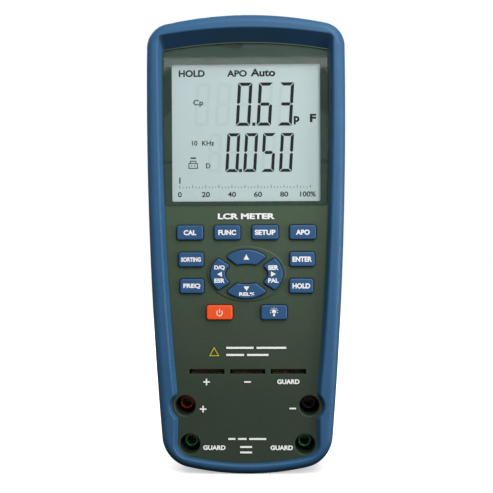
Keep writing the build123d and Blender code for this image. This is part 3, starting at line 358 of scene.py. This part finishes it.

# The case, rim and key finishes carry painted shade and painted edge highlights through these settings.
FINISHES = {
    "case_green": moulded("case_green", CASE_GREEN, 0.56, low_end_shade=0.85, gap_shade=0.85, **CASE_SKIN),
    "stand_green": moulded("stand_green", CASE_GREEN, 0.54, **CASE_SKIN),
    "rim_blue": moulded(
        "rim_blue", RIM_BLUE, 0.46, grain=0.6, depth=0.03, mottle=0.05, wear=0.12, specular=0.35,
        underside_shade=0.95, low_end_shade=0.2,
    ),
    "key_blue": moulded("key_blue", KEY_BLUE, mottle=0.04, wear=0.35, gap_shade=0.6, **KEY_SKIN),
    "key_orange": moulded("key_orange", KEY_ORANGE, mottle=0.03, wear=0.15, **KEY_SKIN),
    "silicone_grey": moulded("silicone_grey", SILICONE_GREY, 0.6, **PLAIN_EDGES),
    "black_plastic": moulded("black_plastic", PLASTIC_BLACK, grain=0.3, depth=0.015, wear=0.2),
    "holder_white": moulded("holder_white", HOLDER_WHITE, **PLAIN_EDGES),
    "chip_black": moulded("chip_black", JET_BLACK, 0.6, grain=0.1, depth=0.01, wear=0.1),
    "zebra_pink": moulded("zebra_pink", ZEBRA_PINK, 0.6, grain=0.2, depth=0.02, wear=0),
    "mask_green": glossy("mask_green", MASK_GREEN, 0.16),
    "backlight_white": glossy("backlight_white", LIGHT_GUIDE_WHITE, 0.25),
    "post_red": glossy("post_red", POST_RED, 0.3),
    "post_black": glossy("post_black", JET_BLACK, 0.3),
    "post_green": glossy("post_green", POST_GREEN, 0.3),
    "lead_red": glossy("lead_red", LEAD_RED, 0.3, ripple=0.02),
    "lead_black": glossy("lead_black", LEAD_BLACK, 0.3, ripple=0.02),
    "lcd_pale": polariser("lcd_pale", LCD_FIELD),
    "lens_clear": clear_window("lens_clear", LENS_TINT),
    "fuse_glass": clear_window("fuse_glass", FUSE_TINT),
    "board_green": circuit_board("board_green", RESIST_GREEN, TRACK_GREEN),
    "bronze": metal("bronze", DARK_BRONZE, 0.4, tarnish=0.3),
    "brass": metal("brass", DARK_BRASS, 0.34),
    "plated_steel": metal("plated_steel", STEEL, 0.28),
    "can_aluminium": metal("can_aluminium", ALUMINIUM, 0.32, brushed=(1, 8, 1)),
    "tinned_steel": metal("tinned_steel", TINNED_STEEL, 0.38),
    "foam_black": foam("foam_black", FOAM_BLACK),
    "battery_sleeve": sleeve("battery_sleeve", SLEEVE_BLACK, SLEEVE_COPPER, BAND_Z),
}

for part in frame["record"]["subparts"]:
    mesh = frame["nodes"][part["node"]].data
    mesh.materials.clear()
    mesh.materials.append(FINISHES[part["material_slot"]])


def ink(name, colour, roughness, depth=0.006, specular=0.5):
    """Screen-printed or moulded-in marking ink: slightly uneven, with worn thin spots."""
    made = Shader(name)
    thin = made.spread(made.noise(0.6, 4), 0, 0.16)
    made.set("Base Color", made.mix(thin, colour, shade(colour, 0.72)))
    made.set("Roughness", made.spread(made.noise(0.4, 3), roughness - 0.05, roughness + 0.08))
    made.set("Specular IOR Level", specular)
    made.bump(made.noise(0.2, 3), depth)
    return made.material


WHITE_INK = ink("white_ink", PRINT_WHITE, 0.5)
YELLOW_INK = ink("yellow_ink", PRINT_YELLOW, 0.5)
DARK_SEGMENTS = ink("dark_segments", LCD_INK, 0.7, 0.002, specular=0.1)
FAINT_SEGMENTS = polariser("faint_segments", LCD_UNLIT)

# ---------------------------------------------------------------- printed pieces

PRINT_PROUD = 0.03  # mm that ink stands above its surface
PRINT_SUNK = 0.02  # mm of it below, so that no gap shows


class Print:
    """Marks gathered into one thin piece on a surface that faces the reader. Places are (x, z) in mm."""

    def __init__(self, surface_y):
        self.mesh = bmesh.new()
        self.front = surface_y - PRINT_PROUD * MM
        self.back = surface_y + PRINT_SUNK * MM

    def points(self, outline):
        """The outline's vertices on the front and on the back of the print."""
        depths = (self.front, self.back)
        return [[self.mesh.verts.new((x * MM, y, z * MM)) for x, z in outline] for y in depths]

    def shape(self, outline):
        """A filled convex shape."""
        front, back = self.points(outline)
        self.mesh.faces.new(front)
        self.mesh.faces.new(back[::-1])
        for i in range(len(outline)):
            j = (i + 1) % len(outline)
            self.mesh.faces.new((front[i], back[i], back[j], front[j]))

    def bar(self, left, right, low, high):
        self.shape([(left, low), (right, low), (right, high), (left, high)])

    def line(self, path, width, closed=False):
        """A line of even width through path, with mitred corners."""
        count = len(path)
        sides = []
        for i, point in enumerate(path):
            before = path[i - 1] if closed or i else point
            after = path[(i + 1) % count] if closed or i < count - 1 else point
            into = Vector(point) - Vector(before)
            out = Vector(after) - Vector(point)
            into = into.normalized() if into.length else out.normalized()
            out = out.normalized() if out.length else into
            along = (into + out).normalized()
            across = Vector((-along.y, along.x)) * (width / 2 / max(0.3, along.dot(out)))
            sides.append((Vector(point) + across, Vector(point) - across))
        left = self.points([s[0] for s in sides])
        right = self.points([s[1] for s in sides])
        for i in range(count if closed else count - 1):
            j = (i + 1) % count
            self.mesh.faces.new((left[0][i], right[0][i], right[0][j], left[0][j]))
            self.mesh.faces.new((left[1][j], right[1][j], right[1][i], left[1][i]))
            self.mesh.faces.new((left[0][j], left[1][j], left[1][i], left[0][i]))
            self.mesh.faces.new((right[0][i], right[1][i], right[1][j], right[0][j]))
        if not closed:
            for i, flip in ((0, 1), (count - 1, -1)):
                cap = (left[0][i], left[1][i], right[1][i], right[0][i])
                self.mesh.faces.new(cap[::flip])

    def arc(self, centre, radius, start, end, width, steps=28):
        """Part of a ring, from start to end degrees, or a whole ring."""
        closed = abs(end - start) >= 360
        count = steps if closed else steps + 1
        angles = [math.radians(start + (end - start) * i / steps) for i in range(count)]
        path = [(centre[0] + radius * math.cos(a), centre[1] + radius * math.sin(a)) for a in angles]
        self.line(path, width, closed)

    def disc(self, centre, radius, steps=28):
        angles = [2 * math.pi * i / steps for i in range(steps)]
        x, z = centre
        self.shape([(x + radius * math.cos(a), z + radius * math.sin(a)) for a in angles])

    def words(self, text, centre, width, height, weight=0.045):
        """Text stretched to width by height mm round centre. weight thickens its strokes."""
        curve = bpy.data.curves.new("words", "FONT")
        curve.body = text
        curve.extrude = 0.5
        curve.offset = weight
        curve.resolution_u = 6
        shown = bpy.data.objects.new("words", curve)
        bpy.context.scene.collection.objects.link(shown)
        bpy.context.view_layer.update()
        graph = bpy.context.evaluated_depsgraph_get()
        letters = bpy.data.meshes.new_from_object(shown.evaluated_get(graph))
        bpy.data.objects.remove(shown)
        low = [min(v.co[k] for v in letters.vertices) for k in range(3)]
        high = [max(v.co[k] for v in letters.vertices) for k in range(3)]
        for v in letters.vertices:
            share = [(v.co[k] - low[k]) / (high[k] - low[k]) for k in range(3)]
            v.co = (
                (centre[0] + (share[0] - 0.5) * width) * MM,
                self.back + share[2] * (self.front - self.back),
                (centre[1] + (share[1] - 0.5) * height) * MM,
            )
        self.mesh.from_mesh(letters)
        bpy.data.meshes.remove(letters)

    def piece(self, name, body, material):
        """The finished piece, riding on body."""
        bmesh.ops.remove_doubles(self.mesh, verts=self.mesh.verts, dist=1e-7)
        bmesh.ops.recalc_face_normals(self.mesh, faces=self.mesh.faces)
        data = bpy.data.meshes.new(name)
        self.mesh.to_mesh(data)
        self.mesh.free()
        data.materials.append(material)
        made = bpy.data.objects.new(name, data)
        bpy.context.scene.collection.objects.link(made)
        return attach(made, body)


def middle(node):
    """A node's centre as (x, z) in mm, and its front as y in metres."""
    low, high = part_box(node)
    return ((low.x + high.x) / 2 / MM, (low.z + high.z) / 2 / MM), low.y


# Keys' legends: the word, its width and its height in mm, each centred on its own key.
KEY_WORDS = {
    "cal": ("CAL", 5.3, 2.2),
    "func": ("FUNC", 7.5, 2.2),
    "setup": ("SETUP", 8.7, 2.2),
    "apo": ("APO", 5.8, 2.2),
    "sorting": ("SORTING", 8.4, 1.9),
    "enter": ("ENTER", 8.2, 2.2),
    "freq": ("FREQ", 7.2, 2.2),
    "hold": ("HOLD", 7.4, 2.2),
}

for key, (word, width, height) in KEY_WORDS.items():
    centre, front = middle(f"key_{key}")
    legend = Print(front)
    legend.words(word, centre, width, height)
    legend.piece(f"legend_{key}", f"key_{key}", WHITE_INK)

ARROW_WIDTH = 2.4
ARROW_HEIGHT = 2.2

(x, z), front = middle("key_up")
legend = Print(front)
foot = z - 1.0
legend.shape([(x - ARROW_WIDTH / 2, foot), (x + ARROW_WIDTH / 2, foot), (x, foot + ARROW_HEIGHT)])
legend.piece("legend_up", "key_up", WHITE_INK)

DOWN_ARROW_HEIGHT = 1.9

(x, z), front = middle("key_down")
legend = Print(front)
foot = z + DOWN_ARROW_HEIGHT
legend.shape([(x, z), (x + ARROW_WIDTH / 2, foot), (x - ARROW_WIDTH / 2, foot)])
legend.words("REL%", (x + 0.1, z - 1.3), 6.4, 1.5)
legend.piece("legend_down", "key_down", WHITE_INK)

SIDE_ARROW_HALF = 1.0  # half the length of the arrows that point sideways
SIDE_ARROW_SPREAD = 1.1  # half their width
SIDE_WORD_RISE = 2.7
SIDE_WORD_WIDTH = 4.4

for key, sign, upper, lower in (("left", -1, "D/Q", "ESR"), ("right", 1, "SER", "PAL")):
    (x, z), front = middle(f"key_{key}")
    legend = Print(front)
    tip = x + sign * SIDE_ARROW_HALF
    base = tip - sign * 2 * SIDE_ARROW_HALF
    arrow = [(tip, z), (base, z + SIDE_ARROW_SPREAD), (base, z - SIDE_ARROW_SPREAD)]
    legend.shape(arrow if sign < 0 else arrow[::-1])
    legend.words(upper, (x, z + SIDE_WORD_RISE), SIDE_WORD_WIDTH, 2.0)
    legend.words(lower, (x, z - SIDE_WORD_RISE), SIDE_WORD_WIDTH, 1.9)
    legend.piece(f"legend_{key}", f"key_{key}", WHITE_INK)

POWER_RING = 1.15  # mm, the radius of the power sign's open ring
POWER_LINE = 0.32

(x, z), front = middle("key_power")
legend = Print(front)
legend.arc((x, z - 0.2), POWER_RING, 125, 415, POWER_LINE)
legend.line([(x, z - 0.1), (x, z + 1.6)], POWER_LINE)
legend.piece("legend_power", "key_power", WHITE_INK)

BULB_RISE = 0.35  # mm that the bulb's middle is above the key's
BULB_RADIUS = 0.85
BULB_FOOT = 0.38  # half the width of its foot
RAY_START, RAY_END, RAY_LINE = 1.2, 1.75, 0.24

(x, z), front = middle("key_backlight")
legend = Print(front)
legend.disc((x, z + BULB_RISE), BULB_RADIUS)
legend.bar(x - BULB_FOOT, x + BULB_FOOT, z - 1.6, z - 0.2)
for degrees in (-20, 20, 55, 90, 125, 160, 200):
    across, up = math.cos(math.radians(degrees)), math.sin(math.radians(degrees))
    ray = [(x + r * across, z + BULB_RISE + r * up) for r in (RAY_START, RAY_END)]
    legend.line(ray, RAY_LINE)
legend.piece("legend_backlight", "key_backlight", WHITE_INK)

# ---------------------------------------------------------------- marks on the face

MARKS_Y = middle("front_case")[1]  # the case's foremost point, on the low pad under the direction keys
SIGN_SIZE = 2.8  # mm, how long the strokes of the plus and minus signs are
PLUS_STROKE = 0.6
MINUS_STROKE = 0.65
GUARD_HEIGHT = 2.0


def plus(marks, centre):
    """A plus sign, as three bars that don't overlap."""
    x, z = centre
    half, thick = SIGN_SIZE / 2, PLUS_STROKE / 2
    marks.bar(x - half, x - thick, z - thick, z + thick)
    marks.bar(x - thick, x + thick, z - half, z + half)
    marks.bar(x + thick, x + half, z - thick, z + thick)


def minus(marks, centre):
    x, z = centre
    marks.bar(x - SIGN_SIZE / 2, x + SIGN_SIZE / 2, z - MINUS_STROKE / 2, z + MINUS_STROKE / 2)


def dashes(marks, left, z, lengths, height, gap=0.75):
    """A row of plain dashes of the given lengths, where a line of small print would be."""
    for length in lengths:
        marks.bar(left, left + length, z - height / 2, z + height / 2)
        left += length + gap


marks = Print(MARKS_Y)
marks.words("LCR METER", (0, 108.8), 24.0, 2.5)
marks.piece("title_mark", "case", WHITE_INK)

marks = Print(MARKS_Y)
plus(marks, (-17.1, 39.0))
minus(marks, (0.2, 39.0))
marks.words("GUARD", (17.4, 39.1), 9.4, GUARD_HEIGHT)
marks.piece("slot_marks", "case", WHITE_INK)

marks = Print(MARKS_Y)
plus(marks, (-18.6, 27.5))
minus(marks, (19.2, 27.8))
for x in (-13.9, 14.5):
    marks.words("GUARD", (x, 11.2), 9.5, GUARD_HEIGHT)
marks.piece("jack_marks", "case", WHITE_INK)

TRIANGLE_CENTRE = (-13.8, 51.7)
TRIANGLE_HALF_WIDTH = 1.85
TRIANGLE_LINE = 0.3
marks = Print(MARKS_Y)
x, z = TRIANGLE_CENTRE
foot = z - 1.6
corners = [(x - TRIANGLE_HALF_WIDTH, foot), (x + TRIANGLE_HALF_WIDTH, foot), (x, z + 1.75)]
marks.line(corners, TRIANGLE_LINE, closed=True)
marks.piece("plain_triangle", "case", YELLOW_INK)

NOTE_LEFT = -8.7
RATING_LEFT = -3.0
marks = Print(MARKS_Y)
dashes(marks, NOTE_LEFT, 53.4, (11.5, 12.5), 0.85, gap=1.3)
dashes(marks, NOTE_LEFT, 50.4, (7.5, 9.0), 0.85, gap=1.3)
dashes(marks, -8.0, 14.9, (3.0, 3.6, 7.2), 0.8, gap=1.1)
dashes(marks, RATING_LEFT, 11.5, (5.0,), 0.8)
dashes(marks, RATING_LEFT, 9.2, (5.0,), 0.8)
marks.piece("plain_dashes", "case", WHITE_INK)

# ---------------------------------------------------------------- the display's picture

GLASS_Y = middle("lcd_glass")[1]
SLANT = 0.06  # mm across for each mm up
SEGMENT_GAP = 0.22
LIT = {
    "0": "abcdef",
    "3": "abcdg",
    "5": "acdfg",
    "6": "acdefg",
}
ALL_SEGMENTS = "abcdefg"


def segments(width, height, thick):
    """The seven segments' outlines in a digit's own box, as letter: points."""
    gap = SEGMENT_GAP
    half = height / 2
    top = [
        (gap, height),
        (width - gap, height),
        (width - gap - thick, height - thick),
        (gap + thick, height - thick),
    ]
    left = [
        (0, half + gap / 2 + thick * 0.3),
        (thick / 2, half + gap / 2),
        (thick, half + gap / 2 + thick / 2),
        (thick, height - gap - thick),
        (0, height - gap),
    ]
    centre = [
        (gap + thick * 0.55, half),
        (gap + thick, half - thick / 2),
        (width - gap - thick, half - thick / 2),
        (width - gap - thick * 0.55, half),
        (width - gap - thick, half + thick / 2),
        (gap + thick, half + thick / 2),
    ]

    def across(points):
        return [(width - x, z) for x, z in points][::-1]

    def below(points):
        return [(x, height - z) for x, z in points][::-1]

    return {
        "a": top[::-1],
        "b": across(left),
        "c": below(across(left)),
        "d": below(top[::-1]),
        "e": below(left),
        "f": left,
        "g": centre,
    }


def digit(picture, letters, corner, width, height, thick):
    """The named segments of a slanted digit whose lower left corner is corner."""
    for letter, outline in segments(width, height, thick).items():
        if letter in letters:
            picture.shape([(corner[0] + x + SLANT * z, corner[1] + z) for x, z in outline])


# Each row of digits in mm: its lower edge, a digit's size and stroke, the first one's left edge and
# the pitch.
UPPER_ROW = {"low": 147.0, "width": 6.1, "height": 18.2, "thick": 1.35, "first": -4.4, "pitch": 8.8}
LOWER_ROW = {"low": 127.5, "width": 5.5, "height": 16.4, "thick": 1.3, "first": -8.9, "pitch": 7.55}
POINT_GAP = 0.45  # between the decimal point and the digit after it

picture = Print(GLASS_Y)
unlit = Print(GLASS_Y)
for row, shown, blank in ((UPPER_ROW, "063", 2), (LOWER_ROW, "0050", 1)):
    for place in range(-blank, len(shown)):
        corner = (row["first"] + place * row["pitch"], row["low"])
        lit = LIT[shown[place]] if place >= 0 else ""
        dark = "".join(letter for letter in ALL_SEGMENTS if letter not in lit)
        digit(picture, lit, corner, row["width"], row["height"], row["thick"])
        digit(unlit, dark, corner, row["width"], row["height"], row["thick"])
for row in (UPPER_ROW, LOWER_ROW):
    right = row["first"] + row["pitch"] - POINT_GAP
    picture.bar(right - row["thick"], right, row["low"], row["low"] + row["thick"])
picture.piece("lcd_digits", "case", DARK_SEGMENTS)
unlit.piece("lcd_unlit_segments", "case", FAINT_SEGMENTS)

# The display's words: the text, its centre, its width and height in mm, and its weight.
LCD_WORDS = [
    ("HOLD", (-22.9, 169.2), 11.0, 2.9, 0.035),
    ("APO", (-3.8, 169.1), 8.4, 2.8, 0.035),
    ("Auto", (7.2, 169.4), 10.4, 3.3, 0.035),
    ("Cp", (-20.2, 156.6), 4.2, 3.0, 0.02),
    ("p", (21.3, 149.2), 2.4, 3.5, 0.045),
    ("F", (28.2, 150.1), 2.6, 3.5, 0.045),
    ("10", (-21.8, 139.8), 2.3, 2.0, 0.02),
    ("KHz", (-16.1, 139.8), 5.2, 2.0, 0.02),
    ("D", (-16.1, 130.2), 1.9, 2.1, 0.02),
]

words = Print(GLASS_Y)
for entry in LCD_WORDS:
    words.words(*entry)
words.piece("lcd_words", "case", DARK_SEGMENTS)

ICON_CENTRE = (-22.5, 130.2)
ICON_LINE = 0.34

icon = Print(GLASS_Y)
x, z = ICON_CENTRE
icon.bar(x - 1.1, x + 1.2, z + 3.0, z + 3.6)
box = [(x - 1.8, z + 1.0), (x - 1.8, z - 1.0), (x + 1.8, z - 1.0), (x + 1.8, z + 1.0)]
icon.line(box, ICON_LINE, closed=True)
icon.line([(x - 1.2, z + 1.2), (x - 1.2, z + 2.0), (x + 1.2, z + 2.0), (x + 1.2, z + 1.2)], ICON_LINE)
for left in (x - 1.0, x + 0.4):
    icon.bar(left, left + 0.6, z - 0.2, z + 0.15)
icon.piece("lcd_fixture_icon", "case", DARK_SEGMENTS)

SCALE_LEFT = -28.2
SCALE_STEP = 5.52  # mm from one tall tick to the next, 10 % of the scale
SCALE_LOW = 120.8
SCALE_TICKS = 41  # four to each step
TALL_TICK, SHORT_TICK = 1.2, 0.6
TICK_HALF_WIDTH = 0.11
FIGURE_Z = 118.1
FIGURE_HEIGHT = 2.2
FIGURE_WEIGHT = 0.02

scale = Print(GLASS_Y)
scale.bar(SCALE_LEFT - 0.22, SCALE_LEFT + 0.28, 122.7, 125.4)
for tick in range(SCALE_TICKS):
    x = SCALE_LEFT + tick * SCALE_STEP / 4
    height = SHORT_TICK if tick % 4 else TALL_TICK
    scale.bar(x - TICK_HALF_WIDTH, x + TICK_HALF_WIDTH, SCALE_LOW, SCALE_LOW + height)
for tens in range(0, 10, 2):
    centre = (SCALE_LEFT + tens * SCALE_STEP, FIGURE_Z)
    scale.words(str(tens * 10), centre, 3.4 if tens else 1.6, FIGURE_HEIGHT, FIGURE_WEIGHT)
scale.words("100%", (26.0, FIGURE_Z), 6.6, FIGURE_HEIGHT, FIGURE_WEIGHT)
scale.piece("lcd_scale", "case", DARK_SEGMENTS)

# ---------------------------------------------------------------- stage, light and camera


def stage_mesh(name, corners):
    data = bpy.data.meshes.new(name)
    data.from_pydata(corners, [], [tuple(range(len(corners)))])
    made = bpy.data.objects.new(name, data)
    bpy.context.scene.collection.objects.link(made)
    return made


FLOOR_HALF = 6.0
PAPER_DARK, PAPER_LIGHT = (0.92, 0.92, 0.92), (0.95, 0.95, 0.95)
WHITE = (1.0, 1.0, 1.0)
PAPER_GLOW = 0.5  # keeps the paper white without lighting the meter
SKY_LOW, SKY_HIGH = 0.04, 0.60  # strength of the surroundings' light from straight below and above

floor_corners = ((-1, -1), (1, -1), (1, 1), (-1, 1))
floor = stage_mesh("floor", [(FLOOR_HALF * x, FLOOR_HALF * y, 0) for x, y in floor_corners])
paper = Shader("floor_paper")
paper.set("Base Color", paper.mix(paper.spread(paper.noise(40), 0, 1), PAPER_DARK, PAPER_LIGHT))
paper.set("Roughness", 0.9)
paper.set("Specular IOR Level", 0.1)
paper.set("Emission Color", WHITE)
paper.set("Emission Strength", PAPER_GLOW)
floor.data.materials.append(paper.material)
floor.visible_diffuse = False
floor.visible_glossy = False

world = bpy.data.worlds.new("studio")
bpy.context.scene.world = world
world.use_nodes = True
sky = world.node_tree
sky.nodes.clear()
coordinates = sky.nodes.new("ShaderNodeTexCoord")
parts = sky.nodes.new("ShaderNodeSeparateXYZ")
sky.links.new(coordinates.outputs["Generated"], parts.inputs["Vector"])
slope = sky.nodes.new("ShaderNodeMapRange")
slope.inputs["From Min"].default_value = -1.0
slope.inputs["From Max"].default_value = 1.0
slope.inputs["To Min"].default_value = SKY_LOW
slope.inputs["To Max"].default_value = SKY_HIGH
sky.links.new(parts.outputs["Z"], slope.inputs["Value"])
lighting = sky.nodes.new("ShaderNodeBackground")
sky.links.new(slope.outputs["Result"], lighting.inputs["Strength"])
seen = sky.nodes.new("ShaderNodeBackground")
seen.inputs["Color"].default_value = (*WHITE, 1.0)
seen.inputs["Strength"].default_value = 1.0
ray = sky.nodes.new("ShaderNodeLightPath")
blend = sky.nodes.new("ShaderNodeMixShader")
sky.links.new(ray.outputs["Is Camera Ray"], blend.inputs["Fac"])
sky.links.new(lighting.outputs["Background"], blend.inputs[1])
sky.links.new(seen.outputs["Background"], blend.inputs[2])
out = sky.nodes.new("ShaderNodeOutputWorld")
sky.links.new(blend.outputs["Shader"], out.inputs["Surface"])


def aimed(obj, place, target):
    """The object put at a place, looking at its target."""
    obj.location = place
    obj.rotation_euler = (Vector(target) - Vector(place)).to_track_quat("-Z", "Y").to_euler()
    bpy.context.scene.collection.objects.link(obj)


def softbox(name, place, target, size, watts):
    """A white area light of the given width and height in metres, facing its target."""
    light = bpy.data.lights.new(name, "AREA")
    light.shape = "RECTANGLE"
    light.size, light.size_y = size
    light.energy = watts
    aimed(bpy.data.objects.new(name, light), place, target)


SUN_ENERGY = 0.5
SUN_SPREAD = 24  # degrees
sun = bpy.data.lights.new("high_sun", "SUN")
sun.energy = SUN_ENERGY
sun.angle = math.radians(SUN_SPREAD)
aimed(bpy.data.objects.new("high_sun", sun), (0.35, -0.40, 1.0), (0, 0, 0.1))

# Each box: its name, its place and target, its width and height, all in metres, and its power in watts.
# The low box reaches down the jack wells, and the strip is mirrored by the lens above the display.
SOFTBOXES = [
    ("key_box", (0.12, -0.34, 0.42), (0, 0, 0.10), (0.30, 0.16), 0.85),
    ("side_box", (0.50, -0.24, 0.04), (0, 0, 0.05), (0.20, 0.20), 1.7),
    ("low_box", (0.24, -0.60, 0.33), (0, 0, 0.03), (0.16, 0.16), 1.1),
    ("lens_strip", (-0.02, -0.60, 0.259), (0, 0, 0.17), (0.16, 0.009), 0.012),
    ("back_box", (-0.3, 0.6, 0.5), (0, 0, 0.1), (0.5, 0.4), 4.0),
]
for entry in SOFTBOXES:
    softbox(*entry)

CAMERA_PLACE = (0.0150, -0.487, 0.1039)
CAMERA_TARGET = (-0.0005, 0.0, 0.0958)
CAMERA_ROLL = -0.25  # degrees
CAMERA_LENS = 81.7  # mm, on a sensor 36 mm wide
camera = bpy.data.cameras.new("camera")
camera.lens = CAMERA_LENS
camera.sensor_width = 36.0
camera.clip_start = 0.01
camera.dof.use_dof = False
viewpoint = bpy.data.objects.new("camera", camera)
aimed(viewpoint, CAMERA_PLACE, CAMERA_TARGET)
viewpoint.rotation_euler.rotate_axis("Z", math.radians(CAMERA_ROLL))
bpy.context.scene.camera = viewpoint
bpy.context.scene.view_settings.view_transform = "Standard"
